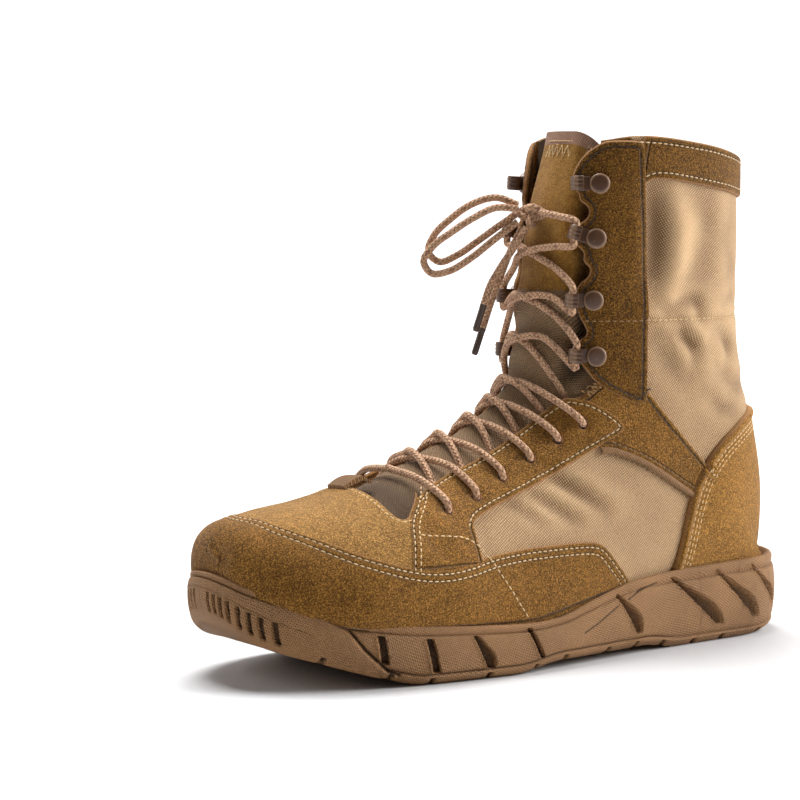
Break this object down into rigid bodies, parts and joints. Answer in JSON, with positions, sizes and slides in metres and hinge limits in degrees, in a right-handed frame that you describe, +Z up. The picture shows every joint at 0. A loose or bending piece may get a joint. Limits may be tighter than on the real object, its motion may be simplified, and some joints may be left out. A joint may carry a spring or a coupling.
{
  "type": "combat boot",
  "caption": "Lace-up combat boot for the left foot with suede panels over a nylon shaft, lace hooks above punched eyelets and a thick lugged rubber sole",
  "frame": {"origin": "on the ground plane, under the middle of the boot's length and width", "axes": "+X towards the heel along the sole, +Y towards the big-toe (medial) side, +Z up"},
  "size_m": [0.302, 0.11, 0.2355],
  "materials": {
    "suede": "rough brushed suede, coyote brown",
    "nylon": "woven nylon, fine diagonal weave",
    "rubber": "matte moulded rubber with fine texture",
    "lining": "matte knitted lining",
    "lace": "braided round cord in two tones",
    "hook_paint": "satin brown paint",
    "aglet": "dark satin tube"
  },
  "bodies": {
    "root": {"outsole": "rubber", "midsole": "rubber", "insole": "lining", "upper": "nylon", "tongue": "suede", "toe_rand": "suede", "vamp": "suede", "throat_tab": "nylon", "eyestay_lateral": "suede", "ankle_panel_lateral": "suede", "ankle_piping_lateral": "nylon", "hook_facing_lateral": "suede", "eyestay_medial": "suede", "ankle_panel_medial": "suede", "ankle_piping_medial": "nylon", "hook_facing_medial": "suede", "collar_band": "suede", "heel_counter": "suede", "hook_lateral_1": "hook_paint", "hook_lateral_2": "hook_paint", "hook_lateral_3": "hook_paint", "hook_lateral_4": "hook_paint", "hook_medial_1": "hook_paint", "hook_medial_2": "hook_paint", "hook_medial_3": "hook_paint", "hook_medial_4": "hook_paint", "lace_bar": "lace", "lace_cross_1": "lace", "lace_cross_2": "lace", "lace_cross_3": "lace", "lace_cross_4": "lace", "lace_cross_5": "lace", "lace_cross_6": "lace", "lace_cross_7": "lace", "lace_cross_8": "lace", "lace_tie_lateral": "lace", "lace_tie_medial": "lace", "lace_knot": "lace", "lace_loop_a": "lace", "lace_loop_b": "lace", "lace_end_a": "lace", "lace_end_b": "lace", "aglet_a": "aglet", "aglet_b": "aglet"}
  },
  "joints": []
}
